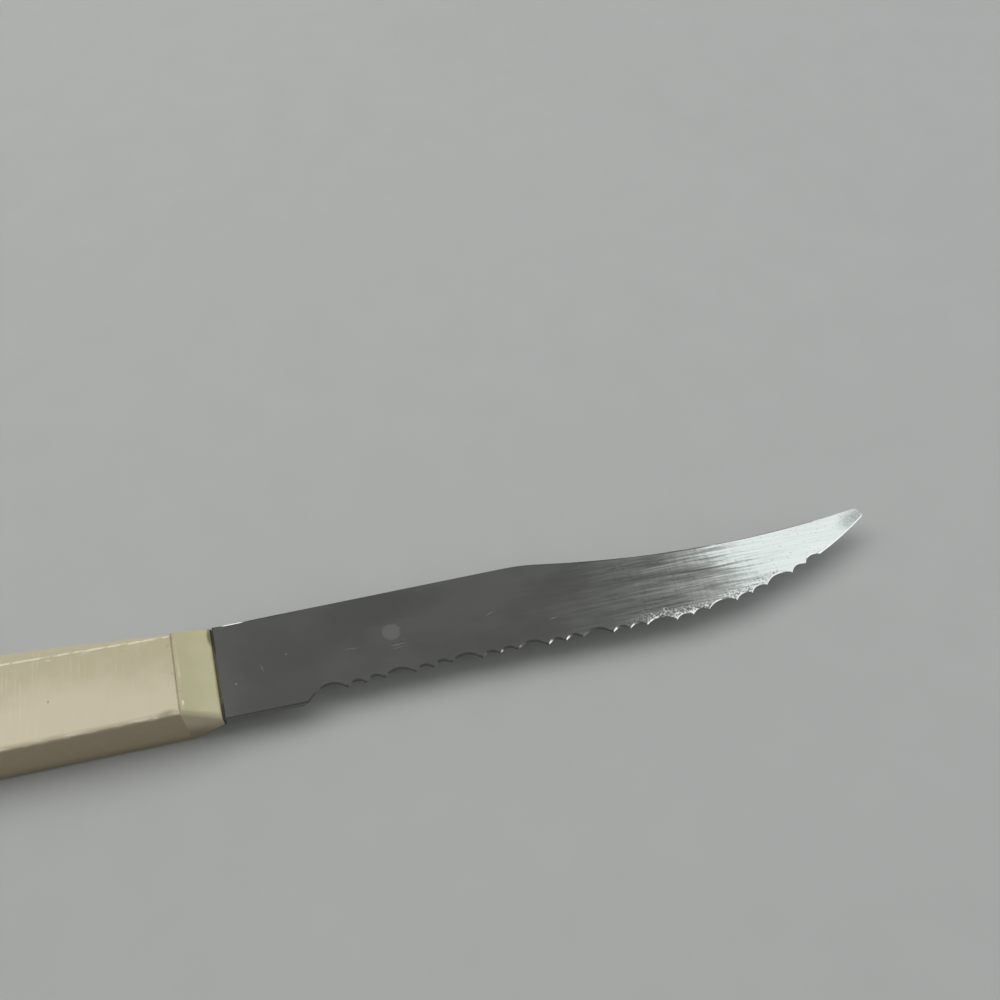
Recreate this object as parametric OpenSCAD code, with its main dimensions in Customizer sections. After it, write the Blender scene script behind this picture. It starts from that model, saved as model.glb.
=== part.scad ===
// Serrated kitchen knife with a moulded ivory handle, in millimetres.
// A stamped blade runs back as a hidden tang. A wedge collar slides over the tang, two handle
// scales close round it, three blind pins lock them, and a dark bead seals the collar's mouth.
// X runs from butt to tip, Y from cutting edge to spine, Z up through the blade as it lies flat.

/* [Blade] */
// Length of blade from the heel's root to the tip
blade_len = 120; // [105:1:150]
// Thickness of the stamped sheet
blade_t = 1; // [0.8:0.1:1.6]
// Height of the spine above the axis at the collar
spine_rise = 9.05; // [8:0.05:11]
// Upward slope of the straight part of the spine, in degrees
spine_slope = 1.3; // [0:0.1:2.5]
// Distance from the collar to the shoulder where the spine starts to dip
shoulder_x = 55; // [45:1:65]
// Radius that softens the shoulder
shoulder_r = 35; // [10:1:50]
// Radius of the long dip from the shoulder to the tip
dip_r = 190; // [140:5:300]
// Height of the tip's centre above the axis
tip_rise = 8.1; // [6:0.1:9]
// Radius of the rounded tip
tip_r = 1.3; // [1:0.1:2.5]
// Radius of the belly that lifts the cutting edge to the tip
belly_r = 80; // [65:1:110]
// Depth of the plain heel below the axis
heel_drop = 8.75; // [7.5:0.05:10]

/* [Serrations] */
// Depth of the longest teeth below the axis
edge_drop = 6.8; // [5.5:0.1:7.2]
// Lean of the tooth line down towards the heel, in degrees
heel_lean = 2; // [0:0.1:3]
// Distance from the collar to where that lean ends
lean_x = 40; // [30:1:50]
// Distance from the collar to the first scallop
teeth_start = 15.6; // [12:0.1:22]
// Width of a big scallop from point to point
big_chord = 5.4; // [4.5:0.1:7]
// Depth of a big scallop on the front face
big_depth = 1.1; // [0.5:0.05:1.3]
// Width of a small scallop from point to point
small_chord = 3.12; // [2.6:0.02:4]
// Depth of a small scallop on the front face
small_depth = 0.75; // [0.3:0.05:0.8]
// Small scallops after each big one
small_count = 2; // [1:1:3]
// Rise of each tooth over the one before it, from the long tooth after a big scallop on
tooth_step = 0.14; // [0:0.02:0.2]
// Tilt of the grinding wheel towards the back face, in degrees
grind_tilt = 60; // [45:1:65]
// Least length kept between the last full repeat and the tip
plain_edge = 10.5; // [8:0.5:16]
// Depth of the plain edge's bevel on the front face
plain_depth = 0.12; // [0.05:0.01:0.2]

/* [Handle body] */
// Length of the handle from the heel's root to the butt
handle_len = 106; // [90:1:125]
// Thickness of the handle
handle_t = 10.4; // [9:0.1:13]
// Height of the spine side of the body at the collar
body_front_rise = 6.5; // [6.2:0.1:8]
// Greatest height of the body's spine side
swell_rise = 10.75; // [9.5:0.05:12]
// Distance from the heel's root to that greatest height
swell_x = 62; // [50:1:75]
// Depth of the body's edge side at the collar
body_front_drop = 8.7; // [8:0.1:10]
// Depth of the body's edge side at the butt
body_butt_drop = 10.4; // [9:0.1:12]
// Radius of the butt's corners
butt_r = 7; // [4:0.5:8]
// Slope length of the butt's top edge
butt_bevel = 1.5; // [0.5:0.1:2.5]
// Radius of the soft edge on the cutting side, along body and collar
soft_edge_r = 1.0; // [1:0.1:3]
// Height of the flat's far edge at the collar, where the spine bevel starts
flat_front_rise = 6.05; // [4.5:0.05:6.15]
// Height of the flat's far edge at the butt
flat_butt_rise = 7.8; // [6:0.1:8]
// Fall of the spine bevel, in degrees
bevel_fall = 35; // [20:1:45]

/* [Collar] */
// Distance from the heel's root to the seam, on the axis of the handle body
collar_len = 6.5; // [5:0.5:10]
// Slant of both ends of the collar, in degrees
seam_slant = 3.7; // [0:0.1:6]
// Thickness of the collar at the blade
collar_front_t = 3.6; // [3.2:0.1:6]
// Height of the collar's spine side at the blade
collar_front_rise = 8.5; // [7:0.1:8.8]
// Depth of the collar's edge side at the blade
collar_front_drop = 9; // [8.8:0.1:10.5]
// Length of the flat land behind the wedge
collar_land = 0.75; // [0.6:0.05:2]
// Step by which the collar stands out past the body on the spine side
collar_step = 0.3; // [0.1:0.1:0.8]
// Radius of the collar's crisp edges on the spine side and at the blade
collar_edge_r = 0.5; // [0.3:0.1:1.2]
// Depth of the V groove between collar and body
groove = 0.2; // [0.1:0.05:0.5]

/* [Joints] */
// Wall of plastic left beside the tang at the collar
side_wall = 2.6; // [2.2:0.1:3.5]
// Wall of plastic left behind the tang
butt_wall = 12; // [9:0.5:20]
// Length of the collar's tenon in the body
tenon_len = 4; // [3:0.5:6]
// Thickness of the tenon
tenon_t = 5; // [4:0.1:6]
// Wall of the tenon beside the tang
tenon_wall = 1.1; // [0.8:0.1:1.6]
// Diameter of a tang pin
pin_d = 3; // [2:0.1:4]
// Plastic that covers each end of a pin
pin_cover = 1.7; // [1.2:0.1:2.5]
// Chamfer on the ends of a pin
pin_chamfer = 0.3; // [0.1:0.05:0.5]
// Distance from the collar's back to the first pin
first_pin = 14; // [9:0.5:20]
// Distance from the last pin to the end of the tang
last_pin = 10; // [7:0.5:15]
// Thickness of the sealing bead at the collar's mouth
seal_t = 0.3; // [0.2:0.05:0.8]
// Width of that bead beside the blade
seal_w = 0.5; // [0.4:0.05:0.8]
// Margin between the bead's ends and the collar's sides
seal_margin = 0.05; // [0:0.05:0.8]
// Clearance of every fit
fit = 0.05; // [0.02:0.01:0.12]

/* [Hidden] */
$fn = 96;
// Overshoot that takes a cut clear of the face it starts from
past = 5;
// Width of the grinding wheel
wheel_w = 14;
// Overlap of neighbouring grinds, so that they meet in a clean ridge
lap = 0.05;
// Reach of the waste past the tip, in tip radii
tip_reach = 15;
// Number of tang pins
pins = 3;

half_t = handle_t / 2;
collar_back = -collar_len;
butt_x = -handle_len;

// Blade outline
tip_c = [blade_len - tip_r, tip_rise];
shoulder = [shoulder_x, spine_y(shoulder_x)];
dip_c = circles_meet(tip_c, dip_r + tip_r, shoulder, dip_r);
spine_normal = [-sin(spine_slope), cos(spine_slope)];
shoulder_c = shoulder_centre();
belly_y = belly_r - edge_drop;
belly_c = [tip_c.x - sqrt(pow(belly_r - tip_r, 2) - pow(belly_y - tip_c.y, 2)), belly_y];

// Serrations
pitch = big_chord + small_count * small_chord;
repeats = floor((blade_len - plain_edge - teeth_start) / pitch);
teeth_end = teeth_start + repeats * pitch;

// Handle body outline: an arc on the spine side and a straight line on the edge side
swell_dx = swell_x - collar_len;
swell_dy = swell_rise - body_front_rise;
swell_r = (pow(swell_dx, 2) + pow(swell_dy, 2)) / (2 * swell_dy);
swell_c = [-swell_x, swell_rise - swell_r];
body_len = handle_len - collar_len;
body_mid = (body_front_rise - body_front_drop) / 2;
wide = 2 * (swell_rise + body_butt_drop);
mouth = -(heel_drop + body_mid) * tan(seam_slant);

// Collar: its two sides from seam to mouth, and the outward directions of its faces
collar_run = mouth - collar_back;
collar_low = [slant_point(collar_back, -body_front_drop), slant_point(mouth, -collar_front_drop)];
collar_high = [slant_point(collar_back, body_front_rise + collar_step), slant_point(mouth, collar_front_rise)];
up = [0, 0, 1];
low_out = side_out(collar_low[1] - collar_low[0]);
high_out = side_out(collar_high[0] - collar_high[1]);
front_out = [cos(seam_slant), sin(seam_slant), 0];
wedge_fall = half_t - collar_front_t / 2;
wedge_out = unit(wedge_fall * front_out + (collar_run - collar_land) * cos(seam_slant) * up);
edge_grade = (body_butt_drop - body_front_drop) / body_len;
edge_angle = atan(edge_grade);
butt_c_x = butt_x + butt_r;
butt_top_y = swell_c.y + sqrt(pow(swell_r - butt_r, 2) - pow(butt_c_x - swell_c.x, 2));
butt_top_c = [butt_c_x, butt_top_y];
butt_low_c = [butt_c_x, body_edge_y(butt_c_x) + butt_r / cos(edge_angle)];

// Tang, pins and tenon
tang_top = body_front_rise - side_wall;
tang_low = side_wall - body_front_drop;
tang_h = tang_top - tang_low;
tang_mid = (tang_top + tang_low) / 2;
tang_end = butt_x + butt_wall;
tang_end_c = [tang_end + tang_h / 2, tang_mid];
pin_len = handle_t - 2 * pin_cover;
pin_first_x = collar_back - first_pin;
pin_last_x = tang_end + last_pin;
pin_gap = (pin_last_x - pin_first_x) / (pins - 1);
pin_x = [for (i = [0 : pins - 1]) pin_first_x + i * pin_gap];

// Shift from the knife's axis to the middle of its footprint
top_y = max(shoulder_c.y + shoulder_r, swell_rise);
low_y = min(butt_low_c.y - butt_r, -collar_front_drop);
home = [(handle_len - blade_len) / 2, -(top_y + low_y) / 2, half_t];

function spine_y(x) = spine_rise + x * tan(spine_slope);
function body_edge_y(x) = -body_front_drop + (x - collar_back) * edge_grade;
function slant_x(x, y) = x - (y - body_mid) * tan(seam_slant);
function slant_point(x, y) = [slant_x(x, y), y];
function unit(v) = v / norm(v);

// Direction to the right of a way across the plan
function side_out(way) = unit([way.y, -way.x, 0]);

// Point of one of the collar's sides at the crest where its flat land ends
function crest(side) = let (p = side[0] + collar_land / collar_run * (side[1] - side[0])) [p.x, p.y, half_t];

// Upper point that lies r1 from p1 and r2 from p2
function circles_meet(p1, r1, p2, r2) =
    let (d = norm(p2 - p1), u = unit(p2 - p1), a = (d * d + r1 * r1 - r2 * r2) / (2 * d))
    p1 + a * u + sqrt(r1 * r1 - a * a) * [u.y, -u.x];

// Centre of the shoulder's fillet: under the spine line and outside the dip's circle
function shoulder_centre() =
    let (
        along = [cos(spine_slope), sin(spine_slope)],
        start = [0, spine_rise] - shoulder_r * spine_normal,
        reach = dip_c - start,
        mid = reach * along,
        off = reach * spine_normal
    )
    start + (mid - sqrt(pow(dip_r + shoulder_r, 2) - off * off)) * along;

// Point of the toothed edge: a line that leans at the heel, then the belly's arc
function edge_point(x) =
    x < belly_c.x ? [x, -edge_drop - max(0, lean_x - x) * tan(heel_lean)]
    : [x, belly_c.y - sqrt(pow(belly_r, 2) - pow(x - belly_c.x, 2))];

// Point of a tooth, so many steps after the long tooth of its repeat
function tooth_point(x, steps) = edge_point(x) + [0, steps * tooth_step];

// What lies outside a rounded corner, between the fillet's two tangent directions
module corner_waste(c, r, u, v, reach) {
    difference() {
        polygon([c, c + reach * u, c + reach * (u + v), c + reach * v]);
        translate(c) circle(r);
    }
}

// What lies outside a rounded edge through p, between faces that look along m and n
module edge_waste(p, m, n, r) {
    e = unit(cross(m, n));
    v = cross(e, m);
    c = p - r * (m + n) / (1 + m * n);
    multmatrix([[m.x, v.x, e.x, c.x], [m.y, v.y, e.y, c.y], [m.z, v.z, e.z, c.z], [0, 0, 0, 1]])
        linear_extrude(2 * wide, center = true) corner_waste([0, 0], r, [1, 0], [m * n, v * n], past);
}

// A shape and its image below the middle plane
module both_sides() {
    children();
    mirror([0, 0, 1]) children();
}

// Tang outline, grown by a clearance
module tang_outline(grow) {
    translate([tang_end_c.x, tang_low - grow])
        square([past - tang_end_c.x, tang_h + 2 * grow]);
    translate(tang_end_c) circle(tang_h / 2 + grow);
}

// Everything behind a slanted line that crosses the body's axis at x
module behind(x) {
    polygon([[slant_x(x, -wide), -wide], [slant_x(x, wide), wide], [butt_x - past, wide], [butt_x - past, -wide]]);
}

module blade_outline() {
    far_x = blade_len + past;
    difference() {
        polygon([
            [-past, -heel_drop], [teeth_start, -heel_drop], edge_point(teeth_start), edge_point(lean_x),
            [far_x, -edge_drop], [far_x, spine_y(far_x)], [-past, spine_y(-past)]
        ]);
        behind(mouth + seal_t);
        translate(dip_c) circle(dip_r);
        difference() {
            translate([belly_c.x, -edge_drop - past]) square([far_x - belly_c.x + past, belly_r]);
            translate(belly_c) circle(belly_r);
        }
        corner_waste(
            shoulder_c, shoulder_r, spine_normal, unit(dip_c - shoulder_c), shoulder_r + past
        );
        corner_waste(tip_c, tip_r, unit(dip_c - tip_c), unit(tip_c - belly_c), tip_reach * tip_r);
    }
    tang_outline(0);
}

// One hollow grind: a wheel tilted towards the back face, through two points of the front edge
module grind(a, b, depth) {
    half = norm(b - a) / 2 + lap;
    bite = depth * cos(grind_tilt);
    wheel_r = (half * half + bite * bite) / (2 * bite);
    turn = atan2(b.y - a.y, b.x - a.x);
    translate([(a.x + b.x) / 2, (a.y + b.y) / 2, blade_t / 2])
        rotate([0, 0, turn])
            translate([0, depth, 0])
                rotate([grind_tilt, 0, 0])
                    translate([0, -wheel_r, 0]) cylinder(h = wheel_w, r = wheel_r, center = true);
}

// Bevel of the plain edge, from the back face: a cone round the belly's centre
module plain_grind() {
    first = asin((teeth_end - small_chord / 2 - belly_c.x) / belly_r);
    last = asin((blade_len + past - belly_c.x) / belly_r);
    rim = belly_r - plain_depth;
    run = blade_t * tan(grind_tilt);
    clear = 1.5 * blade_t;
    translate(belly_c)
        rotate([0, 0, first - 90])
            rotate_extrude(angle = last - first)
                polygon([
                    [rim - 2 * run, -clear], [belly_r + past, -clear],
                    [belly_r + past, clear], [rim + run, clear]
                ]);
}

module blade() {
    color("silver")
        translate(home)
            difference() {
                translate([0, 0, -blade_t / 2]) linear_extrude(blade_t) blade_outline();
                for (i = [0 : repeats - 1]) {
                    start = teeth_start + i * pitch;
                    grind(tooth_point(start, small_count), tooth_point(start + big_chord, 0), big_depth);
                    for (j = [0 : small_count - 1]) {
                        x = start + big_chord + j * small_chord;
                        grind(tooth_point(x, j), tooth_point(x + small_chord, j + 1), small_depth);
                    }
                }
                plain_grind();
                for (x = pin_x) pin_hole(x, 2 * blade_t);
            }
}

// Hole for a tang pin, through the middle plane
module pin_hole(x, depth) {
    translate([x, tang_mid, 0]) cylinder(h = depth, d = pin_d + 2 * fit, center = true);
}

// V groove along the top of the seam
module seam_groove() {
    side = groove * sqrt(2);
    translate([collar_back, body_mid, half_t])
        rotate([0, 0, seam_slant])
            rotate([0, 45, 0])
                cube([side, wide, side], center = true);
}

// Wedge between seam and mouth, with its edges rounded
module wedge() {
    land = collar_land * cos(seam_slant);
    run = collar_run * cos(seam_slant);
    thin = collar_front_t / 2;
    difference() {
        intersection() {
            linear_extrude(handle_t, center = true)
                polygon([collar_low[0], collar_low[1], collar_high[1], collar_high[0]]);
            translate([collar_back, body_mid, 0])
                rotate([90, 0, seam_slant])
                    linear_extrude(wide, center = true)
                        polygon([
                            [-past, -half_t], [land, -half_t], [run, -thin],
                            [run, thin], [land, half_t], [-past, half_t]
                        ]);
        }
        both_sides() {
            edge_waste(crest(collar_low), low_out, up, soft_edge_r);
            edge_waste(crest(collar_low), low_out, wedge_out, soft_edge_r);
            edge_waste(crest(collar_high), high_out, up, collar_edge_r);
            edge_waste(crest(collar_high), high_out, wedge_out, collar_edge_r);
            edge_waste([mouth, body_mid, thin], front_out, wedge_out, collar_edge_r);
            seam_groove();
        }
    }
}

module collar() {
    color("palegoldenrod")
        translate(home)
            difference() {
                union() {
                    wedge();
                    tenon(0);
                }
                linear_extrude(blade_t + 2 * fit, center = true) tang_outline(fit);
            }
}

// Tenon behind the collar, grown by a clearance for its mortise
module tenon(grow) {
    low = tang_low - tenon_wall - grow;
    length = tenon_len + collar_land + grow;
    translate([collar_back + collar_land - length, low, -tenon_t / 2 - grow])
        cube([length, tang_h + 2 * tenon_wall + 2 * grow, tenon_t + 2 * grow]);
}

module body_outline() {
    difference() {
        intersection() {
            translate(swell_c) circle(swell_r);
            polygon([
                [butt_x, -body_butt_drop], [0, body_edge_y(0)], [0, swell_rise], [butt_x, swell_rise]
            ]);
            behind(collar_back);
        }
        corner_waste(butt_top_c, butt_r, unit(butt_top_c - swell_c), [-1, 0], 2 * butt_r);
        corner_waste(
            butt_low_c, butt_r, [sin(edge_angle), -cos(edge_angle)], [-1, 0], 2 * butt_r
        );
    }
}

// Waste above the sloping bevel along the spine side
module spine_bevel_waste() {
    turn = atan2(flat_front_rise - flat_butt_rise, body_len);
    translate([collar_back, flat_front_rise, half_t])
        rotate([-bevel_fall, 0, turn])
            translate([-body_len - past, 0, 0])
                cube([body_len + 2 * past, 2 * swell_rise, handle_t]);
}

// Waste outside the sloping edge round the butt's end
module butt_bevel_waste() {
    translate([butt_x + butt_bevel, -wide / 2, half_t])
        rotate([0, 45, 0])
            translate([-wide / 2, 0, 0]) cube([wide / 2, wide, wide / 2]);
}

// Waste outside the round edge along the cutting side
module soft_edge_waste() {
    translate([butt_x, -body_butt_drop, half_t - soft_edge_r])
        rotate([0, 0, edge_angle])
            difference() {
                translate([-past, -past, 0])
                    cube([body_len + 2 * past, past + soft_edge_r, soft_edge_r + past]);
                translate([-2 * past, soft_edge_r, 0])
                    rotate([0, 90, 0]) cylinder(h = body_len + 4 * past, r = soft_edge_r);
            }
}

// One half of the handle body, above the middle plane
module scale_half() {
    difference() {
        linear_extrude(half_t) body_outline();
        butt_bevel_waste();
        seam_groove();
        spine_bevel_waste();
        soft_edge_waste();
        linear_extrude(blade_t + 2 * fit, center = true) tang_outline(fit);
        tenon(fit);
        for (x = pin_x) pin_hole(x, pin_len + 2 * fit);
    }
}

module front_scale() {
    color("wheat") translate(home) scale_half();
}

module back_scale() {
    color("wheat") translate(home) mirror([0, 0, 1]) scale_half();
}

// Blind pin with chamfered ends, through the tang and half into each scale
module tang_pin(x) {
    r = pin_d / 2;
    tip = r - pin_chamfer;
    top = pin_len / 2;
    side = top - pin_chamfer;
    color("gray")
        translate(home)
            translate([x, tang_mid, 0])
                rotate_extrude()
                    polygon([[0, -top], [tip, -top], [r, -side], [r, side], [tip, top], [0, top]]);
}

// Dark bead between the collar's mouth and the blade's shoulders
module mouth_seal() {
    thick = blade_t + 2 * seal_w;
    low = seal_margin - collar_front_drop;
    high = collar_front_rise - seal_margin;
    color("saddlebrown")
        translate(home)
            difference() {
                linear_extrude(thick, center = true)
                    intersection() {
                        translate([-past, low]) square([2 * past, high - low]);
                        difference() {
                            behind(mouth + seal_t);
                            behind(mouth);
                        }
                    }
                linear_extrude(blade_t + 2 * fit, center = true) tang_outline(fit);
            }
}

blade();
collar();
front_scale();
back_scale();
tang_pin(pin_x[0]);  // front_tang_pin
tang_pin(pin_x[1]);  // middle_tang_pin
tang_pin(pin_x[2]);  // rear_tang_pin
mouth_seal();
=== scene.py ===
# %% [markdown]
# A small serrated kitchen knife with an ivory handle, lying on a table.
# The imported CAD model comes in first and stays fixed. Every visible piece is then dressed around it:
# steel, plastic, a dark bead of resin, and the marks of use. Lengths are metres, and X runs from the butt
# to the tip.

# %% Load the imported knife
import math

import bmesh
import bpy
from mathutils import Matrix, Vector, noise


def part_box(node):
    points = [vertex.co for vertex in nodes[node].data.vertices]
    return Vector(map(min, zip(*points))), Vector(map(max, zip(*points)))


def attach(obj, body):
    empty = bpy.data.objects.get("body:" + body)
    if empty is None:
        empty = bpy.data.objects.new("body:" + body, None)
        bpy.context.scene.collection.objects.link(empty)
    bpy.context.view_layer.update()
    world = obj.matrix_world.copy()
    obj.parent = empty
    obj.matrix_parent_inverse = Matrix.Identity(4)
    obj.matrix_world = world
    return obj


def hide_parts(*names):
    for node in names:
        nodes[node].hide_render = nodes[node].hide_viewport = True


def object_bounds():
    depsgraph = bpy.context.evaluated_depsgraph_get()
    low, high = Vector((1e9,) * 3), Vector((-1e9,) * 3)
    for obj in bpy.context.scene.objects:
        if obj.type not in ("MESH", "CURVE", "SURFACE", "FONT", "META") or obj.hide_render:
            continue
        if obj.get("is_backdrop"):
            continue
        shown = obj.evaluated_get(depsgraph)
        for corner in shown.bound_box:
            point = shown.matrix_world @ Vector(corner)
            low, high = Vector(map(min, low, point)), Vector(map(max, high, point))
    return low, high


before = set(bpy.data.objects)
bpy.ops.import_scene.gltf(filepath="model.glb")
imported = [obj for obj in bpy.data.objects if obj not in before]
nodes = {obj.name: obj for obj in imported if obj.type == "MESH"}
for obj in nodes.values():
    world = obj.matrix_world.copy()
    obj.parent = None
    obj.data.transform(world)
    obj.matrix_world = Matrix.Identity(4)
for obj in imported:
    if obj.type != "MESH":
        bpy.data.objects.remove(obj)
cad_box = [list(corner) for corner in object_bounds()]
print("packed nodes:", ", ".join(sorted(nodes)))

# %% [markdown]
# The photograph looks down at the knife from the side of its cutting edge, from close by, so lines that
# run away from the camera close up visibly. The eye's place and the lens are real values for a camera
# held some 20 cm away.

# %% Camera
MM = 0.001
EYE = Vector((21.3, -94.53, 174.2)) * MM
LOOK = Vector((0.1246, 0.5744, -0.8090))
SENSOR_WIDTH = 36.0
FOCAL_LENGTH = 39.6
NEAREST = 10 * MM
camera_data = bpy.data.cameras.new("camera")
camera_data.sensor_width = SENSOR_WIDTH
camera_data.lens = FOCAL_LENGTH
camera_data.clip_start = NEAREST
camera = bpy.data.objects.new("camera", camera_data)
camera.location = EYE
camera.rotation_euler = LOOK.to_track_quat("-Z", "Y").to_euler()
scene = bpy.context.scene
scene.collection.objects.link(camera)
scene.camera = camera
scene.view_settings.view_transform = "Standard"
print("camera", round(EYE.length / MM), "mm from the middle of the knife")

# %% [markdown]
# Materials are node graphs. Writing each link by hand hides the idea behind the wiring, so a small class
# keeps one material with short ways to add a noise, a sum or a mix. Everything reads Object coordinates,
# which here are the knife's own metres, so a pattern is as long and as wide as its numbers say.


# %% A class for finishes
class Finish:
    """A material, and short ways to add nodes to it."""

    def __init__(self, name):
        self.material = bpy.data.materials.new(name)
        self.material.use_nodes = True
        self.tree = self.material.node_tree
        self.shader = self.tree.nodes["Principled BSDF"]
        self.place = self.add("ShaderNodeTexCoord").outputs["Object"]
        self.x, self.y, self.z = self.add("ShaderNodeSeparateXYZ", self.place).outputs

    def add(self, kind, *inputs, **settings):
        """Adds a node, with values or links for its first sockets."""
        node = self.tree.nodes.new(kind)
        for key, value in settings.items():
            setattr(node, key, value)
        for socket, value in zip(node.inputs, inputs):
            self.put(value, socket)
        return node

    def put(self, value, socket):
        if isinstance(value, bpy.types.NodeSocket):
            self.tree.links.new(value, socket)
        elif value is not None:
            socket.default_value = value

    def math(self, operation, a, b=None):
        return self.add("ShaderNodeMath", a, b, operation=operation).outputs[0]

    def times(self, a, b, plus=0.0):
        return self.add("ShaderNodeMath", a, b, plus, operation="MULTIPLY_ADD").outputs[0]

    def plus(self, a, b):
        return self.math("ADD", a, b)

    def size(self, a):
        """A number without its sign."""
        return self.math("ABSOLUTE", a)

    def vector(self, operation, a, b=None):
        return self.add("ShaderNodeVectorMath", a, b, operation=operation).outputs[0]

    def normal(self):
        """The direction that the surface looks in."""
        return self.add("ShaderNodeNewGeometry").outputs["Normal"]

    def outward(self):
        """How far the surface looks along Y: -1 on the near side, 1 on the far side."""
        return self.add("ShaderNodeSeparateXYZ", self.normal()).outputs[1]

    def noise(self, per_metre, detail=2.0, roughness=0.5, shift=0.0, turn=0.0, out=0):
        """Noise with so many features to the metre along each axis."""
        spread = self.add("ShaderNodeMapping", self.place)
        spread.inputs["Location"].default_value = (shift, shift, shift)
        spread.inputs["Rotation"].default_value = (0.0, 0.0, math.radians(turn))
        spread.inputs["Scale"].default_value = per_metre
        made = self.add("ShaderNodeTexNoise", spread.outputs[0])
        made.inputs["Scale"].default_value = 1.0
        made.inputs["Detail"].default_value = detail
        made.inputs["Roughness"].default_value = roughness
        return made.outputs[out]

    def even_noise(self, per_metre, **how):
        """Noise that is as fine along each axis."""
        return self.noise((per_metre, per_metre, per_metre), **how)

    def swing(self, value, size):
        """A noise turned into a number that swings about 0."""
        return self.times(value, size, -0.5 * size)

    def between(self, value, low, high, start=0.0, end=1.0):
        """A smooth step from start to end as the value goes from low to high."""
        made = self.add("ShaderNodeMapRange", value, low, high, start, end, interpolation_type="SMOOTHSTEP")
        return made.outputs[0]

    def near(self, distance, low, high, share=1.0):
        """A share that falls to 0 as a distance goes from low to high, in millimetres."""
        return self.between(distance, low * MM, high * MM, share, 0.0)

    def along(self, low, high, start=0.0, end=1.0):
        """A smooth step along the knife, in millimetres."""
        return self.between(self.x, low * MM, high * MM, start, end)

    def upward(self, low, high, start=0.0, end=1.0):
        """A smooth step from the table up, in millimetres."""
        return self.between(self.z, low * MM, high * MM, start, end)

    def oval(self, x, y, half_long, half_wide, turn=0.0, core=0.5):
        """A soft patch as seen from above, 1 in its core and 0 outside, in millimetres and degrees."""
        local = self.add("ShaderNodeMapping", self.place, vector_type="TEXTURE")
        local.inputs["Location"].default_value = (x * MM, y * MM, 0.0)
        local.inputs["Rotation"].default_value = (0.0, 0.0, math.radians(turn))
        local.inputs["Scale"].default_value = (half_long * MM, half_wide * MM, 1.0)
        away = self.add("ShaderNodeVectorMath", local.outputs[0], operation="LENGTH").outputs["Value"]
        return self.between(away, core, 1.0, 1.0, 0.0)

    def mix(self, share, a, b):
        made = self.add("ShaderNodeMix", data_type="RGBA")
        self.put(share, made.inputs[0])
        self.put(a, made.inputs[6])
        self.put(b, made.inputs[7])
        return made.outputs[2]

    def attribute(self, name):
        return self.add("ShaderNodeAttribute", attribute_name=name).outputs["Fac"]

    def bump(self, height, strength, distance):
        made = self.add("ShaderNodeBump")
        made.inputs["Strength"].default_value = strength
        made.inputs["Distance"].default_value = distance
        self.put(height, made.inputs["Height"])
        return made.outputs[0]

    def set(self, **sockets):
        """Puts values or links on the shader, and tells how large the graph has become."""
        for name, value in sockets.items():
            self.put(value, self.shader.inputs[name.replace("_", " ")])
        print(self.material.name, "has", len(self.tree.nodes), "nodes")


def shade(r, g, b):
    return (r, g, b, 1.0)


print("finishes read Object coordinates in metres")

# %% [markdown]
# The table is a plain pale sheet. It only has to catch the shadow, so it gets a faint mottle and no gloss
# to speak of.

# %% Table
TABLE_HALF = 4.0
table_mesh = bpy.data.meshes.new("table")
bm = bmesh.new()
bmesh.ops.create_grid(bm, x_segments=1, y_segments=1, size=TABLE_HALF)
bm.to_mesh(table_mesh)
bm.free()
table = bpy.data.objects.new("table", table_mesh)
scene.collection.objects.link(table)
table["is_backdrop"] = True
pale = Finish("pale_table")
mottle = pale.even_noise(90, detail=4.0)
pale.set(
    Base_Color=pale.mix(mottle, shade(0.43, 0.435, 0.425), shade(0.46, 0.465, 0.455)),
    Roughness=0.75,
)
table_mesh.materials.append(pale.material)
print("table is", 2 * TABLE_HALF, "m wide")

# %% [markdown]
# Soft panels hang over the table, as in a small studio. The long one on the left gives the handle its
# sheen, and the one on the right shows in the tip of the blade. The main light hangs overhead and makes
# the shadow. It is hidden from mirrors, because it would fill the dark of the blade. A window far behind
# the knife lights the worn rims that look that way.

# %% Lights
PANEL_HEIGHT = 0.9
WINDOW_PLACE = (-0.32, 2.0, 0.52)


def soft_light(name, wide, high, radiance, place):
    """A rectangle of even light that looks down."""
    lamp = bpy.data.lights.new(name, "AREA")
    lamp.shape = "RECTANGLE"
    lamp.size = wide
    lamp.size_y = high
    lamp.energy = radiance * math.pi * wide * high
    holder = bpy.data.objects.new(name, lamp)
    holder.location = place
    scene.collection.objects.link(holder)
    print(name, "gives", round(lamp.energy, 1), "W")
    return holder


def panel(name, left, right, near, far, radiance):
    """A soft light that hangs over the table."""
    middle = ((left + right) / 2, (near + far) / 2, PANEL_HEIGHT)
    return soft_light(name, right - left, far - near, radiance, middle)


panel("left_panel", -1.3, -0.28, 0.05, 0.6, radiance=2.0)
right_panel = panel("right_panel", 0.42, 1.5, -0.6, 1.0, radiance=0.72)
right_panel.data.color = (0.87, 0.96, 1.0)
main_light = panel("main_light", -0.5, 0.4, -0.12, 0.85, radiance=1.62)
main_light.visible_glossy = False
window = soft_light("window", 0.4, 0.45, radiance=3.0, place=WINDOW_PLACE)
window.rotation_euler = (-math.pi / 2, 0.0, 0.0)

# %% [markdown]
# A flat blade mirrors the room over it, so the room has to be drawn as well. Its walls are a little
# brighter at the far side. Its ceiling is dim, which most of the blade shows, and grows bright towards
# the right. The soft border between the two is where the blade turns from dark to bright.

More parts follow.
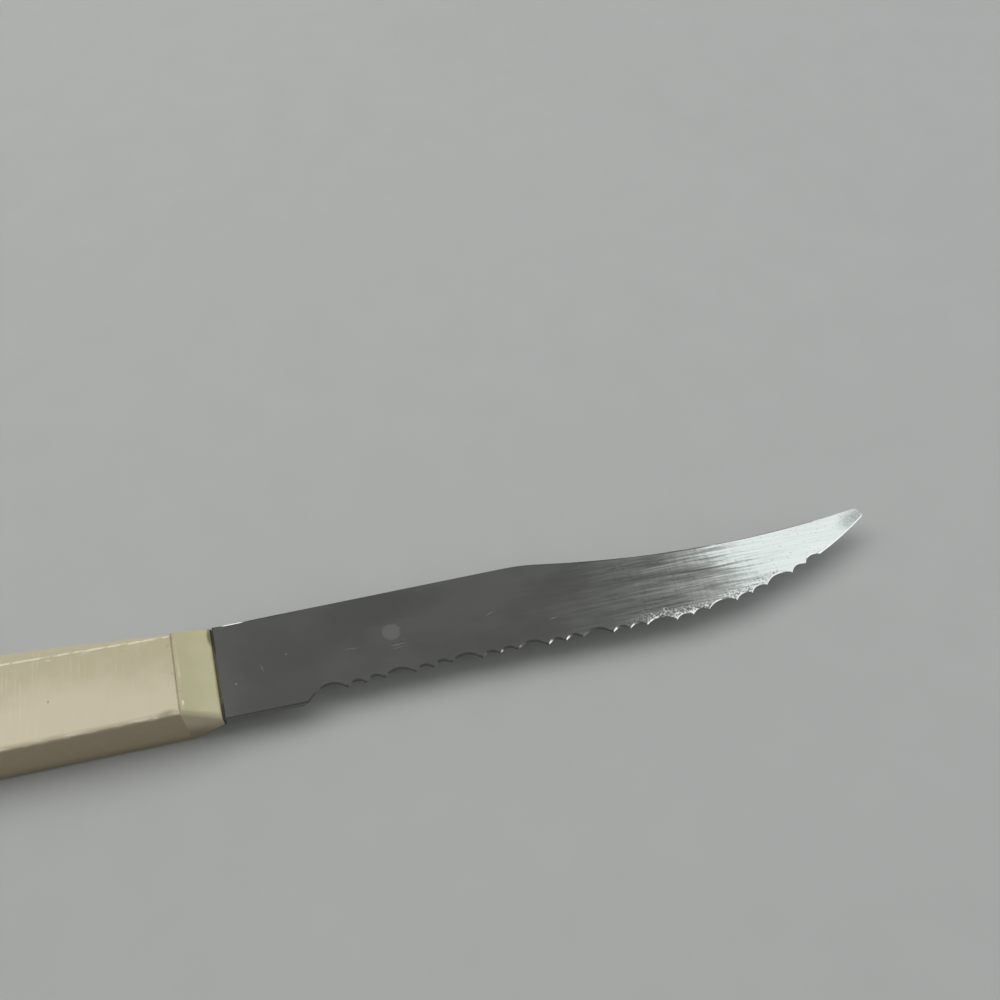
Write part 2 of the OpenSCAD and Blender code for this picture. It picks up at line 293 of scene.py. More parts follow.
# %% Room
WALL_GLOW = 0.42
FAR_WALL_EXTRA = 0.17
WALLS_UP_TO = 0.05
CEILING_FROM = 0.5
CEILING_DIM = 0.13
CEILING_BRIGHT = 0.63
DIM_UP_TO = 0.19
BRIGHT_FROM = 0.352
world = bpy.data.worlds.new("room")
scene.world = world
world.use_nodes = True
room = world.node_tree.nodes
links = world.node_tree.links
way = room.new("ShaderNodeSeparateXYZ")
links.new(room.new("ShaderNodeTexCoord").outputs["Generated"], way.inputs[0])
wall_light = room.new("ShaderNodeMath")
wall_light.operation = "MULTIPLY_ADD"
wall_light.inputs[1].default_value = FAR_WALL_EXTRA
wall_light.inputs[2].default_value = WALL_GLOW
links.new(way.outputs["Y"], wall_light.inputs[0])
ceiling_light = room.new("ShaderNodeMapRange")
ceiling_light.interpolation_type = "SMOOTHSTEP"
ceiling_light.inputs["From Min"].default_value = DIM_UP_TO
ceiling_light.inputs["From Max"].default_value = BRIGHT_FROM
ceiling_light.inputs["To Min"].default_value = CEILING_DIM
ceiling_light.inputs["To Max"].default_value = CEILING_BRIGHT
links.new(way.outputs["X"], ceiling_light.inputs["Value"])
rise = room.new("ShaderNodeMapRange")
rise.inputs["From Min"].default_value = WALLS_UP_TO
rise.inputs["From Max"].default_value = CEILING_FROM
links.new(way.outputs["Z"], rise.inputs["Value"])
links.new(wall_light.outputs[0], rise.inputs["To Min"])
links.new(ceiling_light.outputs[0], rise.inputs["To Max"])
links.new(rise.outputs[0], room["Background"].inputs["Strength"])
room["Background"].inputs["Color"].default_value = shade(0.98, 1.0, 0.98)
print("room is drawn with", len(room), "nodes")

# %% [markdown]
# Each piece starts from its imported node, because the node has the right size and place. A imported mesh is
# loose triangles, so the working copy is welded and its flat faces are joined up. Then the edges get the
# small rounding that every real edge has, and that catches the light.

# %% Working copies
WELD = 1e-6
FLAT = math.radians(0.3)


def working_copy(node):
    bm = bmesh.new()
    bm.from_mesh(nodes[node].data)
    bmesh.ops.remove_doubles(bm, verts=bm.verts, dist=WELD)
    bmesh.ops.dissolve_limit(bm, angle_limit=FLAT, verts=bm.verts, edges=bm.edges)
    bm.normal_update()
    return bm


def soften(bm, edges, width, clamp=True):
    """Rounds edges, and returns the new faces."""
    made = bmesh.ops.bevel(
        bm, geom=edges, offset=width, affect="EDGES", segments=2, profile=0.5, material=-1,
        clamp_overlap=clamp,
    )
    return made["faces"]


def corner_angle(edge):
    return math.degrees(edge.calc_face_angle(0.0))


def settle(bm, name, node, finish, crease=28):
    """Makes the piece's object, in place of its node."""
    mesh = bpy.data.meshes.new(name)
    bmesh.ops.recalc_face_normals(bm, faces=bm.faces)
    bm.to_mesh(mesh)
    bm.free()
    mesh.shade_smooth()
    mesh.set_sharp_from_angle(angle=math.radians(crease))
    mesh.materials.append(finish.material)
    piece = bpy.data.objects.new(name, mesh)
    scene.collection.objects.link(piece)
    weighted = piece.modifiers.new("even_faces", "WEIGHTED_NORMAL")
    weighted.keep_sharp = True
    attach(piece, "root")
    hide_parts(node)
    print(name, "has", len(mesh.polygons), "faces")


print("points nearer than", WELD, "m are welded")

# %% [markdown]
# Dirt collects where pieces meet. The seam between handle and collar and the collar's mouth both lean a
# little, so a finish can ask how far a point lies in front of such a slanted line. The seam has a broken
# dark line in it and some grit beside it, on both of its sides.

# %% Slanted joints
SLANT = math.tan(math.radians(3.7))
AXIS_Y = -1.34 * MM
SEAM_X = -13.5 * MM
CREST_X = -12.75 * MM
BEAD_X = -7.5 * MM
DIRT = shade(0.3, 0.26, 0.16)


def ahead_of(finish, x):
    """Distance in front of a slanted joint that crosses the handle's axis at x."""
    lean = finish.times(finish.y, SLANT, -AXIS_Y * SLANT - x)
    return finish.plus(finish.x, lean)


def seam_dirt(finish, tone):
    """The tone with the dirt of the seam in it."""
    away = finish.size(ahead_of(finish, SEAM_X))
    patchy = finish.even_noise(400, detail=3.0, shift=5.0)
    line = finish.near(finish.plus(away, finish.swing(patchy, 0.2 * MM)), 0.0, 0.22, 0.75)
    line = finish.times(line, finish.between(patchy, 0.35, 0.6, 0.25, 1.0))
    grit = finish.between(finish.even_noise(1000, detail=1.0, shift=14.0), 0.62, 0.7, 0.0, 0.5)
    grit = finish.times(grit, finish.near(away, 0.3, 1.4))
    return finish.mix(finish.math("MAXIMUM", line, grit), tone, DIRT)


print("seam", round(SEAM_X / MM, 1), "mm and mouth", round(BEAD_X / MM, 1), "mm from the middle")

# %% [markdown]
# The blade is stamped from sheet and brushed along its length. Each brush line leans a little
# differently, so where the bright part of the room begins in the reflection, the border breaks into
# streaks. A bump would lean the surface across the lines, so here the normal itself is leaned along X by
# a noise that is long in X and fine in Y. The lean is small at the root, where the blade is smooth, and
# large before the tip, where one streak is darker than the rest.

# %% Brush lines
steel = Finish("brushed_steel")
fine = steel.noise((110, 2600, 2600), detail=3.0, roughness=0.6, turn=-3.0)
broad = steel.noise((26, 420, 420), detail=3.0, shift=4.0, turn=-3.0)
ripple = steel.noise((1500, 160, 160), detail=2.0, shift=12.0, turn=8.0)
lean = steel.plus(steel.swing(fine, 0.10), steel.swing(broad, 0.10))
lean = steel.plus(lean, steel.swing(ripple, 0.02))
lean = steel.times(lean, steel.along(-8.0, 14.0, 0.05, 0.45))
lean = steel.times(lean, steel.along(57.0, 79.0, 1.0, 2.3))
dark_streak = steel.oval(79.0, 2.2, 7.0, 0.55, -2.3, core=0.2)
lean = steel.times(dark_streak, -0.025, lean)
brushed = steel.add("ShaderNodeCombineXYZ", lean).outputs[0]
print("brush lines take", len(steel.tree.nodes), "nodes")

# %% [markdown]
# Along the teeth the steel is scuffed by use and by sharpening, most of all before the tip. The band
# follows the edge, so its distance from the edge is worked out from the same line and arc that the blade
# was cut to: a line that leans at the heel, then the belly. Inside the band the normal is crumpled by a
# fine noise.

# %% Scuffed band along the teeth
BELLY_X = 67.5 * MM
BELLY_Y = 73.0 * MM
BELLY_R = 80.0 * MM
LEAN_X = 33.0 * MM
HEEL_LEAN = math.tan(math.radians(2.0))
past_belly = steel.math("MAXIMUM", steel.math("SUBTRACT", steel.x, BELLY_X), 0.0)
drop = steel.math("SUBTRACT", BELLY_R * BELLY_R, steel.times(past_belly, past_belly))
above_belly = steel.plus(steel.math("SUBTRACT", steel.y, BELLY_Y), steel.math("SQRT", drop))
heelward = steel.math("MAXIMUM", steel.math("SUBTRACT", LEAN_X, steel.x), 0.0)
above_edge = steel.times(heelward, HEEL_LEAN, above_belly)
ragged = steel.noise((500, 700, 700), detail=3.0, shift=2.0)
band = steel.near(steel.plus(above_edge, steel.swing(ragged, 5.0 * MM)), 0.9, 2.9)
patches = steel.between(steel.even_noise(170, detail=2.0, shift=15.0), 0.4, 0.58, 0.25, 1.0)
worked = steel.along(63.0, 70.0, 0.05, 1.0)
spared = steel.along(73.0, 84.0, 1.0, 0.2)
scuff = steel.times(steel.times(band, patches), steel.times(worked, spared))
grains = steel.vector("SUBTRACT", steel.even_noise(2600, detail=2.0, shift=6.0, out=1), (0.5, 0.5, 0.5))
grains = steel.vector("MULTIPLY", grains, (1.0, 1.0, 0.0))
crumpled = steel.add("ShaderNodeVectorMath", grains, operation="SCALE")
steel.put(scuff, crumpled.inputs["Scale"])
print("belly has a radius of", round(BELLY_R / MM), "mm")

# %% [markdown]
# A few marks are too plain to leave to chance: a pale round spot near the heel, some short scratches and
# specks of dried water. Each is an oval patch at its own place.

# %% Marks on the blade
spot = steel.oval(22.7, 1.4, 1.75, 1.75, core=0.85)
SCRATCHES = [
    (15.4, -0.4, 2.3, 0.12, -3),
    (23.4, -1.3, 2.3, 0.10, 1),
    (23.5, -1.9, 2.1, 0.09, 2),
    (40.0, 1.3, 1.5, 0.09, 23),
    (51.0, -1.9, 1.3, 0.10, 8),
    (0.1, -0.8, 1.7, 0.10, -70),
    (4.4, 0.9, 0.25, 0.2, 0),
    (-4.4, -3.0, 0.3, 0.2, 0),
]
scratched = 0.0
for x, y, half_long, half_wide, turn in SCRATCHES:
    scratched = steel.math("MAXIMUM", steel.oval(x, y, half_long, half_wide, turn, core=0.1), scratched)
scratched = steel.times(scratched, steel.between(fine, 0.25, 0.5))
print(len(SCRATCHES), "scratches and specks")

# %% [markdown]
# Metal takes its colour from what it mirrors, so its own tones stay close together. A faint haze changes
# them over the blade, the root is painted a little paler as a painted reflection of the left panel's
# sheen, and towards the tip the steel is cooler and has fine pits.

# %% Steel tones
haze = steel.noise((70, 110, 110), detail=3.0, shift=9.0)
plain = steel.mix(fine, shade(0.56, 0.56, 0.52), shade(0.62, 0.62, 0.58))
darker = steel.mix(0.07, plain, shade(0.35, 0.35, 0.31))
lighter = steel.mix(0.2, plain, shade(0.9, 0.9, 0.87))
plain = steel.mix(steel.between(haze, 0.38, 0.62), darker, lighter)
# Painted reflection: the root is paler, standing in for the left panel's sheen near the collar.
plain = steel.mix(steel.along(-8.0, 18.0, 0.32, 0.0), plain, shade(0.76, 0.76, 0.72))
cool = steel.mix(fine, shade(0.50, 0.52, 0.505), shade(0.69, 0.71, 0.69))
pits = steel.between(steel.noise((1300, 2400, 2400), detail=2.0, shift=21.0), 0.62, 0.72, 0.0, 0.55)
cool = steel.mix(pits, cool, shade(0.32, 0.335, 0.33))
plain = steel.mix(steel.along(50.0, 70.0, 0.0, 0.8), plain, cool)
print("steel tones come from", len(steel.tree.nodes), "nodes so far")

# %% [markdown]
# The marks come on top. Three of them follow the mesh and are read from attributes of the blade's faces:
# the bright worn rim, the painted shade of the dark lips under the scallops, and the walls that the stamp
# sheared, whose dull dark colour is partly painted shade. The end of the tip is painted grey inside its
# bright rim.

# %% Marks in the steel
tone = steel.mix(scuff, plain, steel.mix(steel.between(ragged, 0.45, 0.6), plain, shade(0.70, 0.68, 0.63)))
burr = steel.attribute("burr")
glints = steel.times(burr, 0.6, steel.times(scratched, 0.38))
tone = steel.mix(glints, tone, shade(0.86, 0.86, 0.84))
# Painted shade: the lip faces are darkened where the blade mirrors the shade under its scallops, heel and
# spine.
tone = steel.mix(steel.attribute("lip_shade"), tone, shade(0.34, 0.34, 0.31))
# The sheared walls are darkened: partly the dull steel of a stamped edge, partly painted shade, as they
# mirror the shadow under the blade.
dull_shaded_walls = steel.attribute("sheared_and_shaded")
tone = steel.mix(dull_shaded_walls, tone, shade(0.2, 0.2, 0.19))
# A grey patch is painted at the end of the tip, inside its bright rim.
specks = steel.between(steel.even_noise(1700, detail=2.0, shift=24.0), 0.4, 0.58, 0.72, 1.0)
tip_grey_patch = steel.times(steel.oval(111.3, 7.2, 5.6, 2.7, 24, core=0.1), specks)
tip_grey_patch = steel.times(tip_grey_patch, steel.between(burr, 0.2, 0.6, 0.9, 0.0))
tone = steel.mix(tip_grey_patch, tone, shade(0.26, 0.27, 0.265))
print("rim, lips and walls are read from face attributes")

# %% [markdown]
# The brush lines make the blade dull along its middle. The root and the tip are smoother, so the room
# shows more clearly in them.

# %% Steel shader
dulled = steel.times(steel.along(-6.0, 14.0, 0.6, 1.0), steel.along(50.0, 78.0, 0.10, 0.05))
roughness = steel.times(haze, 0.10, dulled)
for mark, dulling in ((dull_shaded_walls, 0.3), (scuff, 0.12), (scratched, 0.18), (spot, 0.10)):
    roughness = steel.times(mark, dulling, roughness)
leaned = steel.vector("ADD", steel.vector("ADD", steel.normal(), brushed), crumpled.outputs[0])
steel.set(
    Base_Color=tone,
    Metallic=1.0,
    Roughness=roughness,
    Normal=steel.vector("NORMALIZE", leaned),
)

# %% [markdown]
# Every edge of the front face carries a narrow worn strip that falls away from the flat. It is what
# glints at the ends of the scallops. An inset of the front face makes the strip. The long edges of the
# spine are cut into short ones first, so the wear can change along them.

# %% Blade with a strip round its front
RIM_WIDE = 0.17 * MM
RIM_FALL = 0.085 * MM
TOUCH = 0.01 * MM
SPINE_Y = 4.0 * MM
SPINE_LONGEST = 4.0 * MM
SPINE_STEP = 1.5 * MM
bm = working_copy("blade")
worn_rim = bm.faces.layers.float.new("burr")
sheared_and_shaded = bm.faces.layers.float.new("sheared_and_shaded")
lip_shade = bm.faces.layers.float.new("lip_shade")
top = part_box("blade")[1][2]
for edge in bm.edges[:]:
    along_spine = all(v.co.y > SPINE_Y and v.co.z > top - TOUCH for v in edge.verts)
    if along_spine and edge.calc_length() > SPINE_LONGEST:
        bmesh.ops.subdivide_edges(bm, edges=[edge], cuts=int(edge.calc_length() / SPINE_STEP))
front = [f for f in bm.faces if f.normal.z > 0.99 and f.calc_center_median().z > top - TOUCH]
strip = bmesh.ops.inset_region(
    bm, faces=front, thickness=RIM_WIDE, use_boundary=True, use_even_offset=True
)["faces"]
inner = {v for f in front for v in f.verts}
outer = {v for f in strip for v in f.verts} - inner
print("the strip has", len(strip), "faces")

# %% [markdown]
# Seen from above, the dark part of the blade has thin dark lips under its scallops and a dark line under
# its heel, where the blade mirrors the shade under it. That shade is painted on the strip, so the strip is
# made wider where a scallop arches, less and less towards the bright tip, and a little wider under the heel.

# %% Painted shade of the lips under the scallops
TEETH_X = 8.6 * MM
TEETH_END_X = 101.0 * MM
HEEL_X = -4.0 * MM
HEEL_Y = -5.0 * MM
SHADED_LIP_EXTRA = 0.32 * MM
HEEL_EXTRA = 0.15 * MM
DARK_END_X = 72.0 * MM
DARK_FADE = 12.0 * MM
ARCH_FROM = 0.78
ARCH_STEP = 0.2


def share(value):
    return min(1.0, max(0.0, value))


def dark_part(x):
    """1 along the dark part of the blade, falling to 0 towards the bright tip."""
    return share((DARK_END_X - x) / DARK_FADE)


def in_teeth(place):
    return place.y < SPINE_Y and TEETH_X < place.x < TEETH_END_X


def under_heel(place):
    return place.y < HEEL_Y and place.x < TEETH_X


# The strip is widened where it carries the painted shade of the lips.
for vert in inner:
    across = [e.other_vert(vert) for e in vert.link_edges if e.other_vert(vert) in outer]
    if across and in_teeth(vert.co):
        inward = (vert.co - across[0].co).normalized()
        arch = share((inward.y - ARCH_FROM) / ARCH_STEP)
        vert.co += SHADED_LIP_EXTRA * arch * dark_part(vert.co.x) * inward
    elif across and under_heel(vert.co) and vert.co.x > HEEL_X:
        vert.co.y += HEEL_EXTRA
print("lips are up to", round((RIM_WIDE + SHADED_LIP_EXTRA) / MM, 2), "mm wide")

# %% [markdown]
# Then the strip's outer rim is let down, more in some places than in others. Along the teeth the wear
# begins well in front of the heel and is patchy. Along the spine it is full at the collar and soon fades,
# and round the tip it is full again.

# %% Worn rim
TIP_EDGE_X = 100.0 * MM
TIP_SPINE_X = 85.0 * MM
WEAR_X = 24.0 * MM
WEAR_FADE = 12.0 * MM
ROOT_FADE = 10.0 * MM
TEETH_PATCH = 3.5 * MM
SPINE_PATCH = 2.0 * MM
MOUTH_CLEAR = 0.9 * MM
LEAST_WEAR = 0.1


def rim_wear(place):
    """How far the rim is worn down at a place, where 1 is all the way."""
    if place.y < 0 and place.x < TIP_EDGE_X:
        patchy = 0.6 + 1.2 * noise.noise(place / TEETH_PATCH)
        return patchy * min(1.0, (place.x - WEAR_X) / WEAR_FADE)
    if place.x < TIP_SPINE_X:
        return 0.45 - place.x / ROOT_FADE + 0.4 * noise.noise(place / SPINE_PATCH)
    return 1.0


for vert in outer:
    mouth = BEAD_X - (vert.co.y - AXIS_Y) * SLANT
    if vert.co.x > mouth + MOUTH_CLEAR and not under_heel(vert.co):
        vert.co.z -= RIM_FALL * min(1.0, max(LEAST_WEAR, rim_wear(vert.co)))
bm.normal_update()
print("rim falls up to", round(RIM_FALL / MM, 3), "mm")

# %% [markdown]
# The steel has to know which faces are which, so each face of the strip is marked as bright rim or as lip
# with painted shade. In a scallop the part that looks to the tip glints, and the rest gets the painted
# shade, as does the strip under the heel. The spine's strip gets the same painted shade at the root and
# over the long dip, so there it shines only where it mirrors the window.

# %% Marked faces
ROOT_END_X = 4.0 * MM
DIP_START_X = 58.0 * MM
DIP_END_X = 103.0 * MM
GLINT_LEAN = 0.11
UPRIGHT = 0.3
# Faces of a scallop that look away from the tip get painted shade, as do the heel's strip and parts of the
# spine's.
for face in strip:
    centre = face.calc_center_median()
    face[worn_rim] = (top - min(v.co.z for v in face.verts)) / RIM_FALL
    shaded_spine = centre.x <= ROOT_END_X or DIP_START_X <= centre.x < DIP_END_X
    if in_teeth(centre) and face.normal.x < GLINT_LEAN * face[worn_rim]:
        face[lip_shade] = dark_part(centre.x)
        face[worn_rim] *= 1.0 - face[lip_shade]
    elif under_heel(centre):
        face[lip_shade] = 1.0
    elif centre.y > SPINE_Y and shaded_spine:
        face[worn_rim] = 0.0
        face[lip_shade] = 1.0
# Upright walls are marked for that dark colour, which is partly painted shade.
for face in bm.faces:
    face[sheared_and_shaded] = 1.0 if abs(face.normal.z) < UPRIGHT else 0.0
settle(bm, "blade_sheet", "blade", steel, crease=16)

# %% [markdown]
# The handle is moulded in ivory plastic that has aged. Its near half is painted paler, a painted sheen
# that stands in for the left panel's reflection, and its far half is a darker khaki. The tones are mixed
# by place, so they stay on the handle from every side. The border between the halves is the edge of that
# painted sheen: it slopes along the handle, and a noise makes it wander.

# %% Aged ivory with a painted sheen
ivory = Finish("ivory_plastic")
wander = ivory.even_noise(130, detail=3.0)
mottle = ivory.even_noise(420, detail=4.0, shift=7.0)
sloping = ivory.times(ivory.x, 0.086, ivory.plus(ivory.y, 2.75 * MM))
# Painted sheen: the paler near half stands in for the left panel's reflection on the handle's flat.
out_of_sheen = ivory.between(ivory.plus(sloping, ivory.swing(wander, 9.0 * MM)), -4.0 * MM, 4.0 * MM)
ivory_with_sheen = ivory.mix(out_of_sheen, shade(0.62, 0.54, 0.385), shade(0.49, 0.435, 0.28))
tone = ivory.mix(ivory.between(mottle, 0.3, 0.7), ivory_with_sheen, ivory.mix(0.12, ivory_with_sheen, shade(0.7, 0.62, 0.5)))
print("aged tones take", len(ivory.tree.nodes), "nodes")

# %% [markdown]
# Fine rubbing marks run across the handle, most where it is held. A dark nick has its own place, and so
# does a small painted highlight on the near rim.

# %% Rubbed ivory
rubbing = ivory.noise((2600, 90, 90), detail=3.0, roughness=0.6, shift=3.0)
held = ivory.times(ivory.along(-40.0, -16.0, 1.0, 0.3), ivory.between(wander, 0.35, 0.6))
lines = ivory.times(ivory.between(rubbing, 0.52, 0.66), held)
tone = ivory.mix(ivory.times(lines, 0.5), tone, shade(0.68, 0.61, 0.47))
nick = ivory.oval(-33.8, -2.3, 0.35, 0.14, 80)
tone = ivory.mix(nick, tone, shade(0.3, 0.25, 0.17))
# Painted highlight: a small pale mark on the near rim.
pale_highlight = ivory.oval(-16.8, -8.7, 1.0, 0.2, -10, core=0.0)
pale_highlight = ivory.times(pale_highlight, ivory.between(mottle, 0.35, 0.5))
tone = ivory.mix(pale_highlight, tone, shade(0.82, 0.77, 0.64))
print("rubbing marks fade towards the collar")

# %% [markdown]
# Where an edge is chipped, the plastic under the skin is paler. The far edge's chips are marked in the
# mesh, and loose crumbs of the same colour lie close along that edge.

# %% Chipped far edge
chips = ivory.times(ivory.attribute("worn"), ivory.between(mottle, 0.36, 0.52))
tone = ivory.mix(chips, tone, shade(0.74, 0.69, 0.5))
below_far_edge = ivory.math("SUBTRACT", 5.6 * MM, ivory.times(ivory.x, 0.0176, ivory.y))
from_crumbs = ivory.size(ivory.math("SUBTRACT", below_far_edge, 0.5 * MM))
crumbs = ivory.between(ivory.noise((500, 800, 800), detail=3.0, shift=17.0), 0.58, 0.66, 0.0, 0.6)
crumbs = ivory.times(crumbs, ivory.near(from_crumbs, 0.2, 0.9))
tone = ivory.mix(crumbs, tone, shade(0.72, 0.67, 0.5))
print("crumbs lie within 0.9 mm of their line")

# %% [markdown]
# The near side looks away from the lights and gets painted shade in a brown tone, darkest close to the
# table, and its border is ragged. The rounded rim above it is rubbed to pale flecks. A dark patch is
# painted on the rim next to the collar.

# %% Painted shade on the near side
outward = ivory.outward()
# Painted shade: surfaces that look towards the near side are made brown, darker still near the table.
shaded_near_side = ivory.between(ivory.plus(outward, ivory.swing(mottle, 0.5)), -0.95, -0.72, 0.9, 0.0)
brown_and_shade = ivory.mix(ivory.upward(0.5, 3.0), shade(0.24, 0.19, 0.12), shade(0.38, 0.305, 0.19))
tone = ivory.mix(shaded_near_side, tone, brown_and_shade)
near_rim = ivory.between(ivory.size(ivory.plus(outward, 0.6)), 0.05, 0.3, 1.0, 0.0)
flecks = ivory.between(ivory.noise((260, 900, 900), detail=3.0, shift=11.0), 0.5, 0.6, 0.0, 0.85)
flecks = ivory.times(ivory.times(near_rim, flecks), ivory.along(-106.0, -98.0))
tone = ivory.mix(flecks, tone, shade(0.80, 0.75, 0.62))
# A dark patch on the rim next to the collar.
dark_patch = ivory.oval(-15.0, -8.4, 2.2, 1.0, 8, core=0.0)
dark_patch = ivory.times(dark_patch, ivory.upward(8.0, 9.6, 0.0, 0.7))
tone = ivory.mix(dark_patch, tone, shade(0.3, 0.29, 0.17))
ivory.set(
    Base_Color=seam_dirt(ivory, tone),
    Roughness=ivory.times(rubbing, 0.16, 0.26),
    Normal=ivory.bump(ivory.plus(rubbing, mottle), 0.25, 0.02 * MM),
)

# %% [markdown]
# The far edge of the handle's flat is crisp, and use has chipped it. Its rounding is cut into many short
# faces, and a noise bites into them. Only outer edges are rounded: faces inside the handle look towards
# its axis, so a face counts as outer when it looks away from the axis.

# %% Outer edges
AXIS = Vector((0.0, AXIS_Y, sum(corner[2] for corner in cad_box) / 2))
CLEARLY_OUT = 0.5 * MM
CHIP_CUTS = 140


def looks_out(face):
    centre = face.calc_center_median()
    return face.normal.dot(Vector((0.0, centre.y - AXIS.y, centre.z - AXIS.z)))


def outer_edges(bm, least_angle):
    chosen = []
    for edge in bm.edges:
        views = [looks_out(face) for face in edge.link_faces]
        if corner_angle(edge) > least_angle and min(views) > -TOUCH and max(views) > CLEARLY_OUT:
            chosen.append(edge)
    return chosen


def chip(bm, depth, size):
    """Cuts a strip of rounding into short faces and bites into it."""
    layer = bm.faces.layers.float["worn"]
    in_strip = [e for e in bm.edges if any(f[layer] > 0.5 for f in e.link_faces)]
    long_edges = [e for e in in_strip if e.calc_length() > 4.0 * MM]
    bmesh.ops.subdivide_edges(bm, edges=long_edges, cuts=CHIP_CUTS, use_grid_fill=True)
    bm.normal_update()
    for vert in [v for v in bm.verts if any(f[layer] > 0.5 for f in v.link_faces)]:
        bite = noise.noise(vert.co / size) + 0.7 * noise.noise(vert.co / size * 3.3)
        vert.co -= depth * max(0.0, bite) * vert.normal


print("handle's axis is", round(AXIS.z / MM, 1), "mm over the table")

# %% [markdown]
# Both halves of the handle get the same wear. First the crisp edge is found: the long one at the far side
# of the flat. It gets its wide chipped rounding, and then the other outer edges get a small one.

# %% Handle scales
CORNER = 25
CRISP_WIDE = 0.24 * MM
CHIP_DEEP = 0.17 * MM
CHIP_SIZE = 1.3 * MM
SMALL_ROUNDING = 0.08 * MM
FAR_Y = 3.0 * MM
LONG_EDGE = 30.0 * MM
for half in ("front", "back"):
    bm = working_copy(half + "_scale")
    worn = bm.faces.layers.float.new("worn")
    low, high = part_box(half + "_scale")
    face_z = high[2] if half == "front" else low[2]
    crisp = []
    for edge in outer_edges(bm, CORNER):
        middle = (edge.verts[0].co + edge.verts[1].co) / 2
        if abs(middle.z - face_z) < 0.1 * MM and middle.y > FAR_Y and edge.calc_length() > LONG_EDGE:
            crisp.append(edge)
    for face in soften(bm, crisp, CRISP_WIDE):
        face[worn] = 1.0
    chip(bm, CHIP_DEEP, CHIP_SIZE)
    others = [e for e in outer_edges(bm, CORNER) if all(f[worn] < 0.5 for f in e.link_faces)]
    soften(bm, others, SMALL_ROUNDING)
    settle(bm, "handle_" + half, half + "_scale", ivory)
    print(len(crisp), "crisp edge and", len(others), "small roundings")

# %% [markdown]
# The collar is a wedge of the same kind of plastic, but yellower. Just in front of the seam it is painted a
# little darker, painted shade where its slope turns from the light, and it grows lighter towards the blade.
# It is stained along the blade's mouth, and darkest at the mouth's far end.

# %% Yellowed plastic
yellowed = Finish("yellowed_plastic")
stain = yellowed.even_noise(220, detail=4.0)
from_seam = ahead_of(yellowed, SEAM_X)
# Painted shade: darker just in front of the seam, lighter towards the blade.
tone = yellowed.mix(yellowed.between(from_seam, 0.5 * MM, 6.0 * MM), shade(0.45, 0.41, 0.25),
                    shade(0.49, 0.455, 0.285))
paler = yellowed.mix(0.2, tone, shade(0.62, 0.55, 0.36))
tone = yellowed.mix(yellowed.between(stain, 0.35, 0.75), tone, paler)
far_corner = yellowed.times(yellowed.oval(-9.0, 7.0, 2.6, 1.6), 0.35)
tone = yellowed.mix(far_corner, tone, shade(0.56, 0.46, 0.22))
from_mouth = yellowed.size(ahead_of(yellowed, BEAD_X))
from_mouth = yellowed.plus(from_mouth, yellowed.swing(stain, 0.8 * MM))
tone = yellowed.mix(yellowed.near(from_mouth, 0.0, 0.35, 0.5), tone, shade(0.22, 0.16, 0.08))
mouth_end = yellowed.oval(-8.15, 6.2, 0.5, 2.3, 3.7, core=0.2)
tone = yellowed.mix(mouth_end, tone, shade(0.16, 0.15, 0.06))
print("collar's tones take", len(yellowed.tree.nodes), "nodes")

# %% [markdown]
# Just in front of the seam runs a narrow flat, and the ridge where it ends carries a broken pale line,
# partly rubbed wear and partly a painted highlight. The near side gets painted shade as the handle's does,
# lighter at the top and darker towards the table.

# %% Ridge and near side of the collar
tone = yellowed.mix(yellowed.near(from_seam, 0.6, 0.8, 0.5), tone, shade(0.53, 0.46, 0.31))
breaks = yellowed.even_noise(420, detail=4.0, roughness=0.65, shift=8.0)
# Painted highlight, partly rubbed wear: a broken pale line along the ridge, with a brighter spot near its
# low end.
from_crest = yellowed.size(ahead_of(yellowed, CREST_X))
crest_wear_and_highlight = yellowed.times(yellowed.near(from_crest, 0.05, 0.22, 0.55), yellowed.between(breaks, 0.46, 0.64))
crest_wear_and_highlight = yellowed.math("MAXIMUM", crest_wear_and_highlight, yellowed.oval(-12.38, -7.0, 0.2, 0.6, 3.7))
tone = yellowed.mix(crest_wear_and_highlight, tone, shade(0.72, 0.68, 0.5))
tone = seam_dirt(yellowed, tone)
# Painted shade on the collar's near side, darker towards the table.
brown_and_shade = yellowed.mix(yellowed.upward(2.0, 7.0), shade(0.30, 0.235, 0.155), shade(0.58, 0.5, 0.345))
tone = yellowed.mix(yellowed.between(yellowed.outward(), -0.9, -0.5, 1.0, 0.0), tone, brown_and_shade)
yellowed.set(
    Base_Color=tone,
    Roughness=yellowed.times(stain, 0.14, 0.27),
    Normal=yellowed.bump(stain, 0.2, 0.03 * MM),
)

# %% [markdown]
# The collar's shape is right as it was packed. Only the ridges at the ends of its flats, which are blunt
# corners, are rounded, so that they catch the light as a line.

# %% Collar
RIDGE_ROUNDING = 0.12 * MM
RIDGE_LENGTH = 5.0 * MM
BLUNT = (14, 35)
bm = working_copy("collar")
ridges = []
for edge in outer_edges(bm, BLUNT[0]):
    flats = [f for f in edge.link_faces if abs(f.normal.z) > 0.999]
    if flats and corner_angle(edge) < BLUNT[1] and edge.calc_length() > RIDGE_LENGTH:
        ridges.append(edge)
soften(bm, ridges, RIDGE_ROUNDING, clamp=False)
settle(bm, "collar_wedge", "collar", yellowed)
print(len(ridges), "ridges rounded")

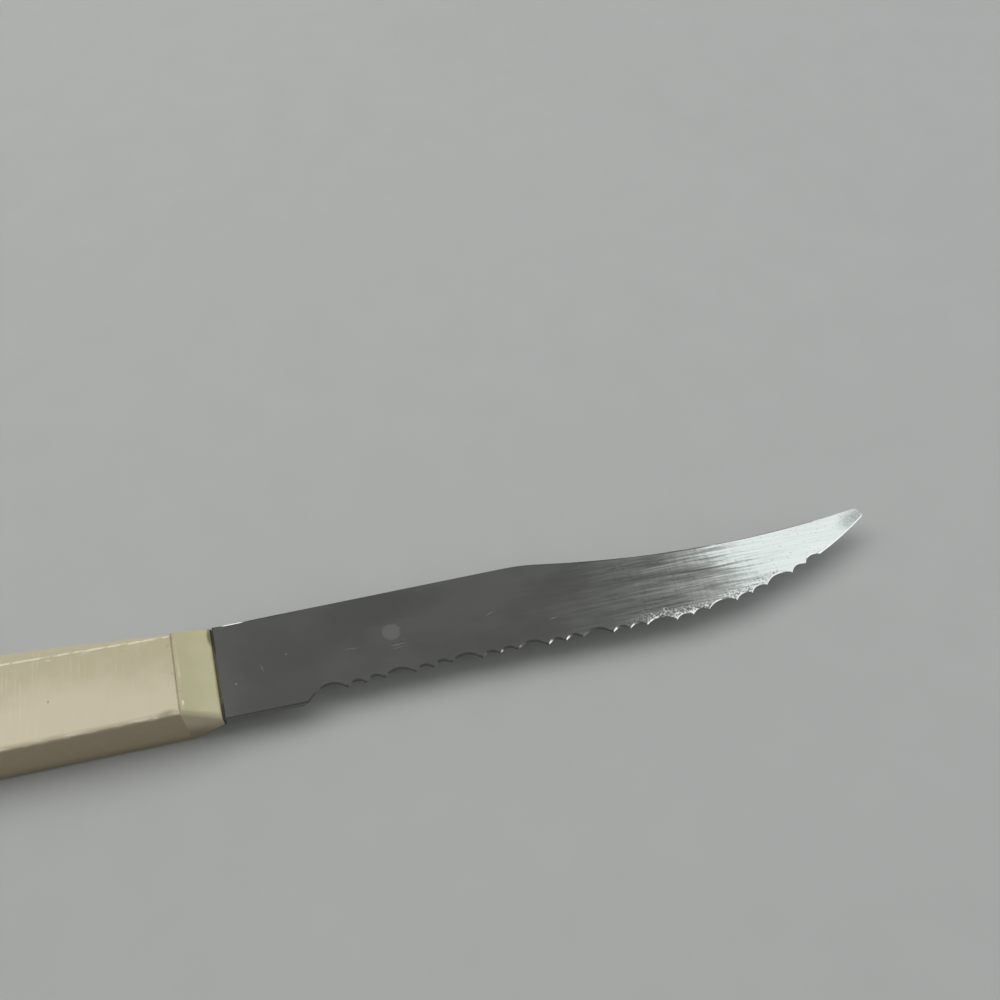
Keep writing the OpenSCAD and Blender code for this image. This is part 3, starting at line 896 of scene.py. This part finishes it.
# %% [markdown]
# The bead of resin at the collar's mouth was smeared in by hand. Its faces are cut up and pushed about by
# a noise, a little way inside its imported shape. The resin is brown, and almost black at the bead's two
# ends.

# %% Bead of resin
BITE = 0.12 * MM
BITE_SIZE = 1.2 * MM
BEAD_LONGEST = 4.0 * MM
BEAD_CUTS = 60
resin = Finish("dark_resin")
crumbs = resin.even_noise(900, detail=3.0)
brown_and_shade = resin.mix(crumbs, shade(0.07, 0.05, 0.035), shade(0.14, 0.105, 0.075))
from_axis = resin.size(resin.math("SUBTRACT", resin.y, AXIS_Y))
at_ends = resin.between(from_axis, 3.5 * MM, 7.5 * MM)
resin.set(
    Base_Color=resin.mix(at_ends, brown_and_shade, shade(0.035, 0.032, 0.018)),
    Roughness=0.6,
    Normal=resin.bump(crumbs, 0.4, 0.05 * MM),
)
bm = working_copy("mouth_seal")
long_edges = [e for e in bm.edges if e.calc_length() > BEAD_LONGEST]
bmesh.ops.subdivide_edges(bm, edges=long_edges, cuts=BEAD_CUTS, use_grid_fill=True)
bmesh.ops.triangulate(bm, faces=[f for f in bm.faces if len(f.verts) > 4])
bm.normal_update()
for vert in bm.verts:
    vert.co -= BITE * abs(noise.noise(vert.co / BITE_SIZE)) * vert.normal
settle(bm, "mouth_bead", "mouth_seal", resin)

# %% [markdown]
# The pins are closed in by the handle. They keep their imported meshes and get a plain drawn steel.

# %% Pins
PINS = ("front_tang_pin", "middle_tang_pin", "rear_tang_pin")
drawn = Finish("drawn_steel")
lines = drawn.noise((900, 900, 40), detail=2.0)
drawn.set(
    Base_Color=drawn.mix(lines, shade(0.45, 0.45, 0.45), shade(0.55, 0.55, 0.55)),
    Metallic=1.0,
    Roughness=drawn.times(lines, 0.2, 0.25),
)
for name in PINS:
    nodes[name].data.materials.clear()
    nodes[name].data.materials.append(drawn.material)

# %% [markdown]
# The dressed knife has to keep the size of the imported one, so both boxes are measured and their largest
# difference is printed.

# %% Sizes
visual_box = [list(corner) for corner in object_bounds()]
largest = max(abs(a - b) for p, q in zip(cad_box, visual_box) for a, b in zip(p, q))
print("largest difference", largest / MM, "mm")
